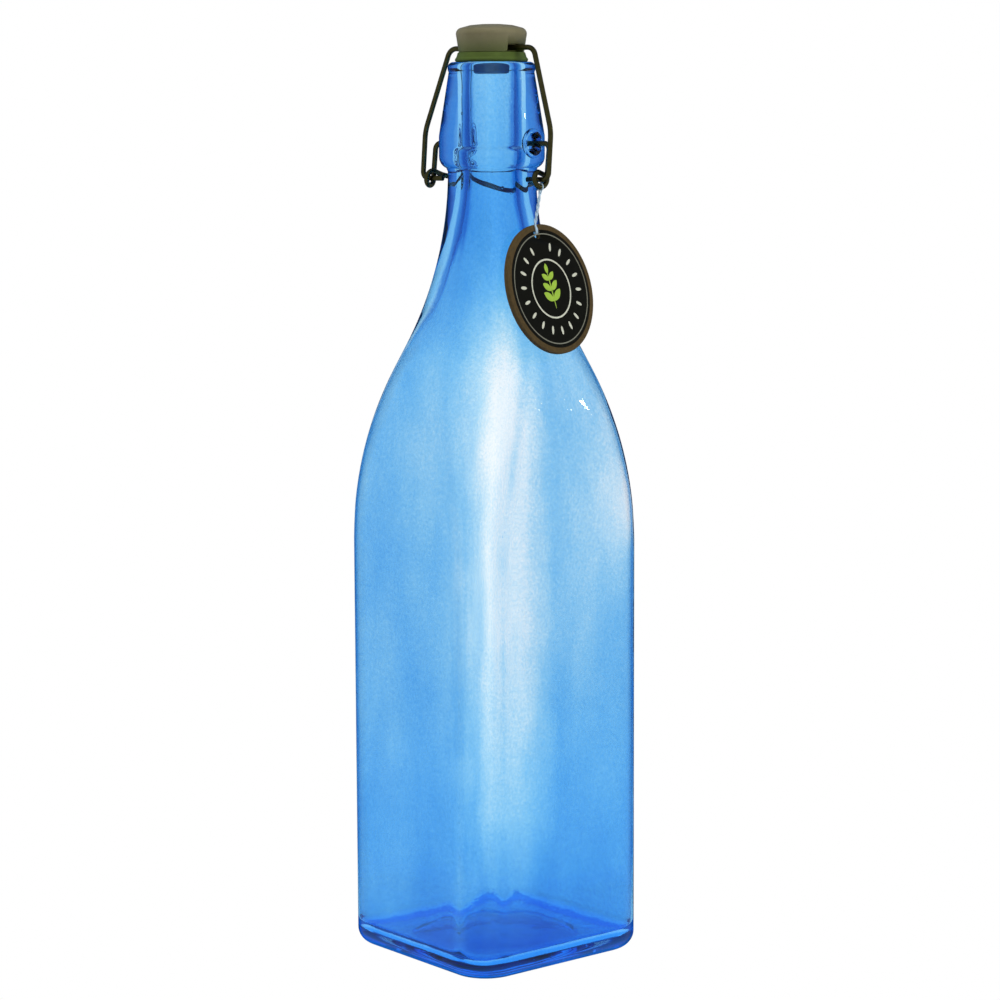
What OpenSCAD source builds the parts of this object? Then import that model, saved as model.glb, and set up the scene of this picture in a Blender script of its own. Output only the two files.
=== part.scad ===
// Square glass bottle with a wire swing closure and a round hang tag.
// Millimetres, +Z up, origin on the table under the middle of the body.
// The body's flat faces look along X and Y. The closure is built with its pivots along X
// and turned as a whole about the bottle's axis.

/* [Body] */
// Width of the square body across its flat faces
body_w = 78; // [72:0.5:84]
// Radius of the body's four upright corners
corner_r = 15; // [12:0.5:19]
// Radius of the heel, where the sides turn under
heel_r = 5.5; // [3:0.5:7]
// Height at which the straight sides end and the shoulder starts
body_h = 144.5; // [120:0.5:160]
// Thickness of the glass in the body's flat walls
wall = 2.75; // [2.25:0.25:4]
// Height of the inner floor above the table
floor_h = 4.5; // [4:0.25:8]
// Radius of the round push-up in the middle of the base
pushup_r = 27; // [20:0.5:29]
// Height of the push-up's dome
pushup_h = 3; // [1.5:0.25:4]

/* [Shoulder and neck] */
// Height from the start of the shoulder to the collar's underside
shoulder_h = 128; // [115:0.5:145]
// Radius of the shoulder's outward curve, measured along a corner
shoulder_r = 128; // [100:1:150]
// Length of the straight slant between the outward and the inward curve
slant_l = 8.5; // [4:0.5:14]
// Radius of the neck at the collar's underside
neck_r = 15.1; // [14:0.1:16.5]

/* [Collar and mouth] */
// Height of the collar, from its underside to the rim
collar_h = 36.2; // [32:0.2:40]
// Radius of the collar at its widest, round the pivots
collar_r = 18.1; // [17.6:0.1:19]
// Radius that rounds the collar's underside into the neck
collar_round = 4.2; // [3:0.1:5]
// Height of the pivots above the collar's underside
pivot_h = 8.7; // [7.5:0.1:10]
// Outer radius of the rim at the mouth
rim_r = 15; // [14:0.1:16]
// Height of the rim's bead
rim_h = 3.4; // [2.6:0.1:4.5]
// Radius of the bore through the mouth and collar
bore_r = 7.75; // [7.3:0.05:8.3]
// Radius of the two round bosses that hold the pivots
boss_r = 5; // [4.6:0.1:5.4]
// How far each boss stands out from the collar
boss_out = 0.7; // [0.5:0.1:1.4]

/* [Wire closure] */
// Angle by which the closure's pivots are turned from the body's X side
closure_turn = 11; // [0:0.5:15]
// Diameter of the spring wire in the bail and the lever
wire_d = 1.8; // [1.5:0.05:2]
// Radial clearance between the wire and its round holes
wire_fit = 0.08; // [0.03:0.01:0.1]
// Depth to which the lever's ends reach into the collar
pivot_depth = 4.5; // [4:0.1:6]
// Distance from the middle to the lever's arms
arm_x = 25.2; // [24.4:0.1:26]
// Drop from the pivots to the lever's two eyes
eye_drop = 12; // [11.6:0.1:12.6]
// How far the closed eyes lie past the pivots' upright line
eye_back = 4; // [3.4:0.1:4.2]
// Mean radius of the lever's two eyes
eye_r = 2.5; // [2.45:0.05:2.7]
// Gap between the neck and the bow that rests behind it
bow_gap = 1; // [0.6:0.1:1.5]
// Height of the bow's back below the eyes' tops
bow_drop = 6.6; // [4:0.1:7]
// Gap along X between the bail's legs and the lever's arms
leg_gap = 0.8; // [0.5:0.1:1.2]
// Length of the bail's bent ends inside the eyes
bail_end = 9.3; // [8:0.1:9.6]
// Half width of the bail where it turns down beside the stopper
bail_top_x = 18.4; // [17.6:0.2:20]
// Height above the eyes at which the bail's legs turn in
bail_bend_h = 16.3; // [12:0.1:22]

/* [Stopper and gasket] */
// Largest diameter of the stopper's head
head_d = 24.2; // [22:0.1:26]
// Diameter of the head at its lower edge
head_base_d = 22.4; // [20:0.1:24]
// Height of the head above the gasket
head_h = 9.6; // [8.5:0.1:12]
// Height of the wire's hole above the head's lower edge
hole_h = 1.5; // [1.45:0.05:3]
// Height of the crown on top of the head
crown_h = 1.2; // [0.6:0.1:2]
// Diameter of the bead at the end of the stem
bead_d = 12.2; // [11:0.1:12.4]
// Depth of the bead below the gasket
bead_h = 4.4; // [3:0.1:4.6]
// Diameter of the stem inside the gasket
stem_d = 9; // [7:0.1:10]
// Thickness of the gasket
gasket_h = 2.6; // [2.4:0.05:4]
// Diameter of the gasket at its lower edge
gasket_d = 25; // [23:0.1:27]
// Gap between the closed gasket and the rim
gasket_gap = 0.6; // [0.55:0.01:0.8]

/* [Hang tag] */
// Diameter of the tag
tag_d = 44.6; // [38:0.2:50]
// Thickness of the tag's board
tag_t = 1.8; // [1.2:0.1:2.2]
// Diameter of the tag's hole
tag_hole_d = 3.2; // [3:0.1:4]
// Distance from the tag's edge to the middle of its hole
tag_hole_in = 3.4; // [3.2:0.1:4.2]
// Gap between the tag's lower edge and the shoulder that it leans over
tag_clear = 2.4; // [2.2:0.1:4]
// Angle by which the tag hangs askew in its own plane
tag_askew = 6.5; // [0:0.5:8]
// Distance of the tag's hole from the pivots' upright plane, measured out along the pivots
tag_x = 22; // [21.6:0.1:23]
// Height of the tag's hole below the eyes
tag_below = 18.6; // [18:0.1:24]
// Radius of the tie's strand
tie_r = 0.24; // [0.2:0.02:0.26]

/* [Hidden] */

// Smoothness of round features
round_fn = 96;
corner_steps = 10;
heel_steps = 5;
curve_steps = 9;
wire_sides = 12;

// Heights of the bottle, from the table up
collar_z = body_h + shoulder_h;
pivot_z = collar_z + pivot_h;
rim_z = collar_z + collar_h;

// Colours
glass_blue = [0.25, 0.60, 0.92, 0.55];
wire_dark = [0.17, 0.18, 0.13];

// Half diagonal of a rounded square of half width a and corner radius c
function half_diagonal(a, c) = a * sqrt(2) - c * (sqrt(2) - 1);

// The shoulder along a corner: an outward arc of radius r1, a slant and an inward arc,
// from a rounded square of half width a and corner radius c at height 0 to radius small,
// upright again, at height h.
function two_arcs(a, c, small, h, r1, slant) =
    let (
        big = half_diagonal(a, c),
        dr = big - small,
        both = (dr * dr + h * h - slant * slant) / (2 * dr),
        span = [both - dr, h],
        turn = atan2(span[1], span[0]) - acos(both / norm(span))
    )
    [big, small, h, r1, both - r1, turn, a];

// Radius of that curve at height z above its start
function curve_radius(s, z) =
    let (
        turn = s[5],
        z1 = s[3] * sin(turn),
        z2 = s[2] - s[4] * sin(turn)
    )
    z <= 0 ? s[0]
    : z < z1 ? s[0] - s[3] + sqrt(s[3] * s[3] - z * z)
    : z < z2 ? s[0] - s[3] * (1 - cos(turn)) - (z - z1) * tan(turn)
    : z < s[2] ? s[1] + s[4] - sqrt(s[4] * s[4] - (s[2] - z) * (s[2] - z))
    : s[1];

// Heights at which that curve is cut into rings. The last one lies inside the collar.
collar_lap = 0.5;
function curve_heights(s) =
    let (turn = s[5])
    concat(
        [for (i = [0:curve_steps]) s[3] * sin(turn * i / curve_steps)],
        [for (i = [0:curve_steps - 1]) s[2] - s[4] * sin(turn * (1 - i / curve_steps))],
        [s[2] + collar_lap]
    );

// Sections turn from the body's rounded square to round as they shrink
square_share = corner_r / (body_w / 2);
round_share = 0.97;
round_speed = 0.7;
function corner_share(s, radius) =
    let (done = (s[0] - radius) / (s[0] - s[1]))
    square_share + (round_share - square_share) * pow(done, round_speed);

// One closed ring of points: a rounded square of half width a and corner radius c
function ring(a, c, z) = [
    for (quarter = [0:3], i = [0:corner_steps])
        let (
            t = 90 * (quarter + i / corner_steps),
            sx = (quarter == 0 || quarter == 3) ? 1 : -1,
            sy = quarter < 2 ? 1 : -1
        )
        [(a - c) * sx + c * cos(t), (a - c) * sy + c * sin(t), z]
];
ring_points = 4 * (corner_steps + 1);

// The ring of the shoulder at height z above the start of curve s
function shoulder_ring(s, z, z0) =
    let (
        radius = curve_radius(s, z),
        k = corner_share(s, radius),
        a = min(radius / half_diagonal(1, k), s[6])
    )
    ring(a, k * a, z0 + z);

// The inside follows the outside a wall away, with tighter corners where the blown glass
// is thinner, and narrows to the bore at the collar
inner_w = body_w - 2 * wall;
inner_heel_r = heel_r;
inner_corner_r = max(corner_r - 2 * wall, inner_heel_r + 1);
bore_step = 0.3;
outer_curve = two_arcs(body_w / 2, corner_r, neck_r, shoulder_h, shoulder_r, slant_l);
inner_curve = two_arcs(
    inner_w / 2, inner_corner_r, bore_r + bore_step, shoulder_h, shoulder_r, slant_l
);

// Rings of the outside from the table up, then of the inside from the collar down
outer_rings = concat(
    [for (i = [0:heel_steps])
        let (t = 90 * i / heel_steps, inset = heel_r * (1 - sin(t)))
        ring(body_w / 2 - inset, corner_r - inset, heel_r * (1 - cos(t)))],
    [for (z = curve_heights(outer_curve)) shoulder_ring(outer_curve, z, body_h)]
);
inner_rings = concat(
    [for (i = [0:heel_steps])
        let (t = 90 * i / heel_steps, inset = inner_heel_r * (1 - sin(t)))
        ring(inner_w / 2 - inset, inner_corner_r - inset,
            floor_h + inner_heel_r * (1 - cos(t)))],
    [for (z = curve_heights(inner_curve)) shoulder_ring(inner_curve, z, body_h)]
);

// Reversed copy of a list
function reversed(list) = [for (i = [len(list) - 1:-1:0]) list[i]];

// A closed skin through a stack of rings, capped at both ends
module skin(rings) {
    m = len(rings[0]);
    last = len(rings) - 1;
    polyhedron(
        points = [for (r = rings) each r],
        faces = concat(
            [[for (i = [0:m - 1]) i]],
            [[for (i = [m - 1:-1:0]) last * m + i]],
            [for (k = [0:last - 1], i = [0:m - 1])
                let (j = (i + 1) % m)
                [(k + 1) * m + i, (k + 1) * m + j, k * m + j, k * m + i]]
        )
    );
}

// Points on a circular arc in a flat outline
function arc(centre, r, from, to, steps) = [
    for (i = [0:steps])
        let (t = from + (to - from) * i / steps)
        centre + r * [cos(t), sin(t)]
];

// Outline of the collar, from the bore at its underside round to the mouth
cone_share = 0.31;
rim_round = 1.9;
mouth_round = 1.3;
rim_groove = 0.35;
collar_foot_r = neck_r + collar_lap;
function collar_outline() =
    let (
        round_x = collar_r - collar_round,
        foot_angle = -acos((collar_foot_r - round_x) / collar_round),
        cone_z = collar_z + collar_h * cone_share,
        bead_z = rim_z - rim_h
    )
    concat(
        [[bore_r, collar_z], [collar_foot_r, collar_z]],
        arc([round_x, collar_z + collar_round], collar_round, foot_angle, 0, 10),
        [[collar_r, cone_z], [rim_r - rim_groove, bead_z]],
        arc([rim_r - rim_round, rim_z - rim_round], rim_round, 0, 90, 8),
        arc([bore_r + mouth_round, rim_z - mouth_round], mouth_round, 90, 180, 6)
    );

// The two dished sockets that the lever's ends turn in
boss_x = collar_r + boss_out;
tip_x = collar_r - pivot_depth;
socket_end = 0.4;
dish_rim = 0.8;
dish_r = boss_r - dish_rim;
dish_floor_r = 2.5;
dish_depth = 2.9;
socket_r = wire_d / 2 + wire_fit;

// Places a shape that is drawn along +Z on each pivot's line, pointing outward
module on_pivots() {
    for (side = [0, 180])
        translate([0, 0, pivot_z])
            rotate([0, 90, closure_turn + side])
                children();
}

module bosses() {
    on_pivots()
        translate([0, 0, bore_r + wall])
            cylinder(h = boss_x - bore_r - wall, r = boss_r, $fn = round_fn);
}

module sockets() {
    on_pivots() {
        translate([0, 0, tip_x - socket_end])
            cylinder(h = boss_x, r = socket_r, $fn = round_fn);
        translate([0, 0, boss_x - dish_depth])
            cylinder(h = dish_depth + 1, r1 = dish_floor_r,
                r2 = dish_floor_r + (dish_r - dish_floor_r) * (dish_depth + 1) / dish_depth,
                $fn = round_fn);
    }
}

// Spherical cap of radius r and height h, standing on height 0
module cap(r, h) {
    ball_r = (r * r + h * h) / (2 * h);
    reach = asin(r / ball_r);
    rotate_extrude($fn = round_fn)
        polygon(concat(
            [[0, 0]],
            [for (i = [0:12])
                let (t = reach * (1 - i / 12))
                [ball_r * sin(t), h - ball_r * (1 - cos(t))]]
        ));
}

module bottle() {
    color(glass_blue)
        difference() {
            union() {
                difference() {
                    skin(concat(outer_rings, reversed(inner_rings)));
                    translate([0, 0, -0.01])
                        cap(pushup_r, pushup_h);
                }
                translate([0, 0, floor_h - 0.01])
                    cap(pushup_r, pushup_h);
                difference() {
                    union() {
                        rotate_extrude($fn = round_fn)
                            polygon(collar_outline());
                        bosses();
                    }
                    sockets();
                }
            }
        }
}

// Heights of the closed stopper
gasket_z = rim_z + gasket_gap;
head_z = gasket_z + gasket_h;
hole_z = head_z + hole_h;

// The head is turned with its stem and bead. The wire runs through its core in a round
// hole, and comes out in a notch on each side that is open to the gasket.
head_edge_r = 2.2;
bead_round = 1.2;
core_r = 7.2;
notch_w = 8.4;
notch_over = 1.3;
hole_r = wire_d / 2 + wire_fit;
module wire_way() {
    rotate([0, 0, closure_turn]) {
        translate([-head_d, 0, hole_z])
            rotate([0, 90, 0])
                cylinder(h = 2 * head_d, r = hole_r, $fn = round_fn);
        for (side = [-1, 1])
            translate([side * (core_r + head_d / 2), 0, hole_z + notch_over - head_h / 2])
                cube([head_d, notch_w, head_h], center = true);
    }
}

module stopper() {
    color("#7c795a")
        difference() {
            rotate_extrude($fn = round_fn)
                polygon(concat(
                    [[0, gasket_z - bead_h]],
                    arc([bead_d / 2 - bead_round, gasket_z - bead_h + bead_round],
                        bead_round, -90, 0, 6),
                    [[bead_d / 2, gasket_z], [stem_d / 2, gasket_z], [stem_d / 2, head_z],
                        [head_base_d / 2, head_z]],
                    arc([head_d / 2 - head_edge_r, head_z + head_h - crown_h - head_edge_r],
                        head_edge_r, 0, 75, 6),
                    [[0, head_z + head_h]]
                ));
            wire_way();
        }
}

gasket_fit = 0.05;
gasket_flare = 0.9;
gasket_lip = 1.1;
module gasket() {
    color("#5b6f2c")
        rotate_extrude($fn = round_fn)
            polygon([
                [stem_d / 2 + gasket_fit, gasket_z],
                [gasket_d / 2 - gasket_flare / 2, gasket_z],
                [gasket_d / 2, gasket_z + gasket_lip / 2],
                [gasket_d / 2 - gasket_flare / 4, gasket_z + gasket_lip],
                [gasket_d / 2 - gasket_flare, head_z],
                [stem_d / 2 + gasket_fit, head_z]
            ]);
}

// Place of the lever's eyes, that the bail's ends lie in
eye_y = -eye_back;
eye_z = pivot_z - eye_drop;

// Unit vector
function unit(v) = v / norm(v);

// Points round a bend of radius r at corner b, on the way from a to c
function bend(a, b, c, r, steps) =
    let (
        u = unit(a - b),
        w = unit(c - b),
        open = acos(u * w),
        centre = b + unit(u + w) * r / sin(open / 2),
        start = b + u * r / tan(open / 2) - centre,
        finish = b + w * r / tan(open / 2) - centre,
        turn = 180 - open
    )
    [for (i = [0:steps])
        let (t = turn * i / steps)
        centre + start * sin(turn - t) / sin(turn) + finish * sin(t) / sin(turn)];

// Directions along a route, and normals carried along it without twist
function headings(route) = [
    for (i = [0:len(route) - 1])
        unit(route[min(i + 1, len(route) - 1)] - route[max(i - 1, 0)])
];
function level(v, along) = unit(v - (v * along) * along);
function carried(along, i, normal) =
    i == len(along) ? []
    : let (n = level(normal, along[i])) concat([n], carried(along, i + 1, n));

// Round wire of radius r swept along a route
module swept_wire(route, r, first_normal) {
    along = headings(route);
    normals = carried(along, 0, first_normal);
    skin([for (i = [0:len(route) - 1])
        [for (k = [0:wire_sides - 1])
            let (t = 360 * k / wire_sides)
            route[i] + r * (cos(t) * normals[i] + sin(t) * cross(along[i], normals[i]))]]);
}

// Mirror image of a route across the plane X = 0, walked the other way
function mirrored(route) = [for (p = reversed(route)) [-p[0], p[1], p[2]]];

// A swept wire is a touch thinner than the exact bars that it starts in
sweep_r = wire_d / 2 * 0.98;
lap = 1.5;

// Exact round bar of the wire along X, from x = from to x = to
module x_bar(from, to, y, z) {
    translate([from, y, z])
        rotate([0, 90, 0])
            cylinder(h = to - from, r = wire_d / 2, $fn = round_fn);
}

// The bail: one wire through the stopper, down both sides and into the lever's eyes
leg_x = arm_x + wire_d + leg_gap;
bail_h = norm([eye_back, hole_z - eye_z]);
bail_end_x = leg_x - bail_end;
end_bend_r = 2.4;
leg_bend_r = 16;
top_bend_r = 3.6;

// Point of the bail's leaning plane at distance x from the middle and h above the eyes
function on_bail(x, h) = [
    x, eye_y + eye_back * h / bail_h, eye_z + (hole_z - eye_z) * h / bail_h
];
end_bar_x = leg_x - end_bend_r - 0.5;
top_bar_x = bail_top_x - top_bend_r;
function half_bail() =
    let (
        foot = on_bail(leg_x, 0),
        knee = on_bail(leg_x, bail_bend_h),
        top = on_bail(bail_top_x, bail_h)
    )
    concat(
        [on_bail(end_bar_x - lap, 0)],
        bend(on_bail(0, 0), foot, knee, end_bend_r, 6),
        bend(foot, knee, top, leg_bend_r, 6),
        bend(knee, top, on_bail(0, bail_h), top_bend_r, 6),
        [on_bail(top_bar_x - lap, bail_h)]
    );

module bail_wire() {
    half = half_bail();
    color(wire_dark)
        rotate([0, 0, closure_turn]) {
            x_bar(-top_bar_x, top_bar_x, 0, hole_z);
            x_bar(bail_end_x, end_bar_x, eye_y, eye_z);
            x_bar(-end_bar_x, -bail_end_x, eye_y, eye_z);
            swept_wire(half, sweep_r, [0, 1, 0]);
            swept_wire(mirrored(half), sweep_r, [0, 1, 0]);
        }
}

// The lever: from each pivot out, down an arm, round an eye and behind the neck.
// The arm meets its eye on the eye's far side, and leaves it over the top.
arm_bend_r = 2.2;
eye_pitch = wire_d + 0.2;
eye_span = [eye_back, eye_drop];
eye_in = atan2(eye_span[1], eye_span[0]) - acos(eye_r / norm(eye_span));
bow_r = neck_r + bow_gap + wire_d / 2;
bow_slope = atan2(bow_drop, bow_r + eye_back);
eye_out = -270 - bow_slope;
eye_steps = 18;
leave_x = arm_x - eye_pitch;
top_y = eye_y + eye_r * cos(eye_out);
top_z = eye_z + eye_r * sin(eye_out);
hook_y = 1.2;
hook_bend_r = 2.6;

// Height of the bow's plane at distance y behind the pivots
function bow_height(y) = top_z - (y - top_y) * tan(bow_slope);

// Point of the bow at angle t from the +X axis
function bow_point(t) = [
    bow_r * cos(t), bow_r * sin(t), bow_height(bow_r * sin(t))
];

hook = [leave_x, hook_y, bow_height(hook_y)];
bow_from = atan2(hook_y, leave_x) + acos(bow_r / norm([leave_x, hook_y]));
bow_steps = 6;
stub_x = arm_x - arm_bend_r - 0.6;
function half_lever() =
    let (
        corner = [arm_x, 0, pivot_z],
        arm_foot = [arm_x, eye_y + eye_r * cos(eye_in), eye_z + eye_r * sin(eye_in)]
    )
    concat(
        [[stub_x - lap, 0, pivot_z]],
        bend([0, 0, pivot_z], corner, arm_foot, arm_bend_r, 5),
        [for (i = [0:eye_steps])
            let (t = eye_in + (eye_out - eye_in) * i / eye_steps)
            [arm_x - eye_pitch * i / eye_steps, eye_y + eye_r * cos(t),
                eye_z + eye_r * sin(t)]],
        bend([leave_x, top_y, top_z], hook, bow_point(bow_from), hook_bend_r, 4),
        [for (i = [0:bow_steps]) bow_point(bow_from + (90 - bow_from) * i / bow_steps)]
    );

module lever_wire() {
    half = half_lever();
    back = mirrored(half);
    color(wire_dark)
        rotate([0, 0, closure_turn]) {
            x_bar(tip_x, stub_x, 0, pivot_z);
            x_bar(-stub_x, -tip_x, 0, pivot_z);
            swept_wire(concat(half, [for (i = [1:len(back) - 1]) back[i]]), sweep_r, [0, 1, 0]);
        }
}

// The tag hangs beside the bottle from the eye on the +X side of the closure, and leans as
// far as the shoulder behind its lower edge stands out
tag_hole = [tag_x, eye_y, eye_z - tag_below];
tag_reach = tag_d - tag_hole_in;
tag_foot_z = tag_hole[2] - 0.97 * tag_reach;
function ring_half_width(points) = max([for (p = points) p[0]]);
shoulder_x = ring_half_width(
    shoulder_ring(outer_curve, tag_foot_z - body_h, body_h)
) / cos(closure_turn);
tag_lean = asin((shoulder_x + tag_clear + tag_t / 2 - tag_x) / tag_reach);

// The board lies flat, with the hole's middle at the origin
module tag_board() {
    translate([0, 0, -tag_t / 2])
        difference() {
            translate([0, tag_hole_in - tag_d / 2, 0])
                cylinder(h = tag_t, d = tag_d, $fn = round_fn);
            translate([0, 0, -1])
                cylinder(h = tag_t + 2, d = tag_hole_d, $fn = round_fn);
        }
}

module hang_tag() {
    color("#3a3320")
        rotate([0, 0, closure_turn])
            translate(tag_hole)
                rotate([90, 0, 90])
                    rotate([-tag_lean, 0, 0])
                        rotate([0, 0, tag_askew])
                            tag_board();
}

// The tie: a ring round the lowest wire of the eye, a strand, and a ring through the
// tag's hole. The upper ring passes between the eye and the bail's end inside it.
eye_free = (eye_r - wire_d) / 2;
eye_ring_r = 1.9;
eye_ring_x = arm_x - eye_pitch * 0.45;
eye_ring_at = [eye_ring_x, eye_y, eye_z - wire_d / 2 - eye_free - eye_ring_r];
tag_ring_r = 2.5;
tag_ring_up = 3.1;
tag_ring_at = tag_hole + [0, 0, tag_ring_up];

// Round bar between two points
module bar(from, to, r) {
    v = to - from;
    translate(from)
        rotate([0, acos(v[2] / norm(v)), atan2(v[1], v[0])])
            cylinder(h = norm(v), r = r, $fn = round_fn);
}

module cross_ring(at, mean_r, r) {
    translate(at)
        rotate([90, 0, 0])
            rotate_extrude($fn = round_fn)
                translate([mean_r, 0])
                    circle(r = r, $fn = round_fn);
}

module tag_tie() {
    color([0.85, 0.92, 0.97])
        rotate([0, 0, closure_turn]) {
            cross_ring(eye_ring_at, eye_ring_r, tie_r);
            cross_ring(tag_ring_at, tag_ring_r, tie_r);
            bar(tag_ring_at + [0, 0, tag_ring_r], eye_ring_at - [0, 0, eye_ring_r], tie_r * 1.1);
        }
}

bottle();
stopper();
gasket();
bail_wire();
lever_wire();
tag_tie();
hang_tag();
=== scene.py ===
import math

import bmesh
import bpy
from mathutils import Matrix, Vector, noise


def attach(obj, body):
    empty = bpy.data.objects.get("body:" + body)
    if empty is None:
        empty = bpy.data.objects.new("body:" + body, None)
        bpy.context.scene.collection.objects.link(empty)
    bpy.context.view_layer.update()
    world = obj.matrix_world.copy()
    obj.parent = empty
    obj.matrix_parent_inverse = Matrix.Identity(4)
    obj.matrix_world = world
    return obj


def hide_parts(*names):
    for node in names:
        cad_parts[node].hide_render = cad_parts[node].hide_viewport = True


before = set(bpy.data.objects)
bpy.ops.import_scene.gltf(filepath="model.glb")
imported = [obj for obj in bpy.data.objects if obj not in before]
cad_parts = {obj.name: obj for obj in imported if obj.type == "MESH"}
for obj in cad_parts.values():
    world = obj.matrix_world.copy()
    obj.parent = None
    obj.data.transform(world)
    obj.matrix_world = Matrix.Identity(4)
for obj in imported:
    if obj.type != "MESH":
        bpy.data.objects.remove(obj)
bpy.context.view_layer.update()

# ---------------------------------------------------------------- camera
# A long lens a metre away, level with the collar and tilted down a little, looking at the
# bottle's front corner.

LENS = 104.5
CAMERA_AZIMUTH = math.radians(50.53)
CAMERA_PITCH = math.radians(7.571)
CAMERA_ROLL = math.radians(-0.25)
CAMERA_DISTANCE = 1.0
CAMERA_HEIGHT = 0.29105
CAMERA_SIDE = 0.00225

camera_right = Vector((math.cos(CAMERA_AZIMUTH), math.sin(CAMERA_AZIMUTH), 0))
camera_data = bpy.data.cameras.new("camera")
camera_data.lens = LENS
camera_data.sensor_width = 36.0
camera = bpy.data.objects.new("camera", camera_data)
camera.location = camera_right * CAMERA_SIDE + Vector((
    CAMERA_DISTANCE * math.sin(CAMERA_AZIMUTH),
    -CAMERA_DISTANCE * math.cos(CAMERA_AZIMUTH),
    CAMERA_HEIGHT,
))
camera.matrix_world = (
    Matrix.Translation(camera.location)
    @ Matrix.Rotation(CAMERA_AZIMUTH, 4, "Z")
    @ Matrix.Rotation(math.pi / 2 - CAMERA_PITCH, 4, "X")
    @ Matrix.Rotation(CAMERA_ROLL, 4, "Z")
)
bpy.context.scene.collection.objects.link(camera)
bpy.context.scene.camera = camera


# ---------------------------------------------------------------- glass bottle
# The bottle is blown blue glass: a square body with rounded corners, a long shoulder and a
# round collar with two dished bosses for the lever. Its tint holds painted light and shade:
# paler front and back corners, deeper side corners, pale marks on the shoulder and a glowing
# heel. The inside wavers a little.

MM = 0.001
BODY_W = 78.0
CORNER_R = 15.0
HEEL_R = 5.5
BODY_H = 144.5
WALL = 2.75
FLOOR_H = 4.5
PUSHUP_R = 27.0
PUSHUP_H = 3.0
SHOULDER_H = 128.0
SHOULDER_R = 128.0
SLANT = 8.5
NECK_R = 15.1
COLLAR_Z = BODY_H + SHOULDER_H
COLLAR_H = 36.2
COLLAR_R = 18.1
COLLAR_ROUND = 4.2
RIM_Z = COLLAR_Z + COLLAR_H
RIM_R = 15.0
RIM_H = 3.4
BORE_R = 7.75
PIVOT_Z = COLLAR_Z + 8.7
BOSS_R = 5.0
BOSS_X = COLLAR_R + 0.7
BOSS_EDGE = 0.7
CLOSURE_TURN = math.radians(11)
GLASS_TINT = "#66D4F8"
GLASS_DENSITY = 45.0


def to_linear(colour):
    """Turns an sRGB hex colour into linear RGBA."""
    parts = [int(colour[i:i + 2], 16) / 255 for i in (1, 3, 5)]
    return [p / 12.92 if p <= 0.04045 else ((p + 0.055) / 1.055) ** 2.4 for p in parts] + [1.0]


def add_node(material, kind, settings=None, **links):
    """Adds a node. A link is a node, a socket or a plain value, for the input of that name,
    or of that number after an i."""
    node = material.node_tree.nodes.new(kind)
    for name, value in (settings or {}).items():
        setattr(node, name, value)
    for name, value in links.items():
        numbered = name[1:].isdigit()
        socket = node.inputs[int(name[1:]) if numbered else name.replace("_", " ")]
        if isinstance(value, bpy.types.Node):
            value = next(output for output in value.outputs if output.enabled)
        if isinstance(value, bpy.types.NodeSocket):
            material.node_tree.links.new(value, socket)
        else:
            socket.default_value = value
    return node


def new_material(name):
    """An empty material with an output, and its output node."""
    material = bpy.data.materials.new(name)
    material.use_nodes = True
    material.node_tree.nodes.clear()
    return material, material.node_tree.nodes.new("ShaderNodeOutputMaterial")


def fill_ramp(ramp, pairs):
    """Sets a colour ramp's stops from pairs of a place and a colour."""
    for i, (at, colour) in enumerate(pairs):
        if i in (0, len(pairs) - 1):
            stop = ramp.elements[0 if i == 0 else -1]
        else:
            stop = ramp.elements.new(at)
        stop.color = to_linear(colour)


def half_diagonal(a, c):
    """Distance from the axis to a corner of a rounded square."""
    return a * math.sqrt(2) - c * (math.sqrt(2) - 1)


def two_arcs(a, c, small):
    """The shoulder's curve: an outward arc, a short slant and an inward arc."""
    big = half_diagonal(a, c)
    drop = big - small
    both = (drop * drop + SHOULDER_H ** 2 - SLANT ** 2) / (2 * drop)
    across = both - drop
    turn = math.atan2(SHOULDER_H, across) - math.acos(both / math.hypot(across, SHOULDER_H))
    return {"big": big, "small": small, "inward_r": both - SHOULDER_R, "turn": turn, "half": a}


def curve_radius(curve, z):
    """Distance from the axis to a corner at height z above the straight sides."""
    turn, inward = curve["turn"], curve["inward_r"]
    z1 = SHOULDER_R * math.sin(turn)
    z2 = SHOULDER_H - inward * math.sin(turn)
    if z <= 0:
        return curve["big"]
    if z < z1:
        return curve["big"] - SHOULDER_R + math.sqrt(SHOULDER_R ** 2 - z * z)
    if z < z2:
        return curve["big"] - SHOULDER_R * (1 - math.cos(turn)) - (z - z1) * math.tan(turn)
    if z < SHOULDER_H:
        return curve["small"] + inward - math.sqrt(inward ** 2 - (SHOULDER_H - z) ** 2)
    return curve["small"]


AROUND = 256


def square_ring(a, c, z):
    """Rounded square of half width a and corner radius c, one point in each direction."""
    points = []
    flat = a - c
    for i in range(AROUND):
        t = 2 * math.pi * (i + 0.5) / AROUND
        x, y = abs(math.cos(t)), abs(math.sin(t))
        if a * y <= flat * x:
            reach = a / x
        elif a * x <= flat * y:
            reach = a / y
        else:
            reach = flat * (x + y) + math.sqrt(c * c - flat * flat * (1 - 2 * x * y))
        points.append(Vector((reach * math.cos(t), reach * math.sin(t), z)))
    return points


def shoulder_ring(curve, share, z):
    """Section at height z above the straight sides, which turns from square to round."""
    radius = curve_radius(curve, z)
    done = (curve["big"] - radius) / (curve["big"] - curve["small"])
    k = share + (1 - share) * max(done, 0) ** 0.7
    a = min(radius / half_diagonal(1, k), curve["half"])
    return square_ring(a, k * a, BODY_H + z)


def round_ring(r, z):
    return square_ring(r, r, z)


def arc_points(x, z, r, start, end, steps):
    """Points (x, z) on an arc, by its angles in degrees."""
    angles = [math.radians(start + (end - start) * i / steps) for i in range(steps + 1)]
    return [(x + r * math.cos(t), z + r * math.sin(t)) for t in angles]


def steps_between(start, end, step):
    count = max(1, round(abs(end - start) / step))
    return [start + (end - start) * i / count for i in range(count + 1)]


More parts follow.
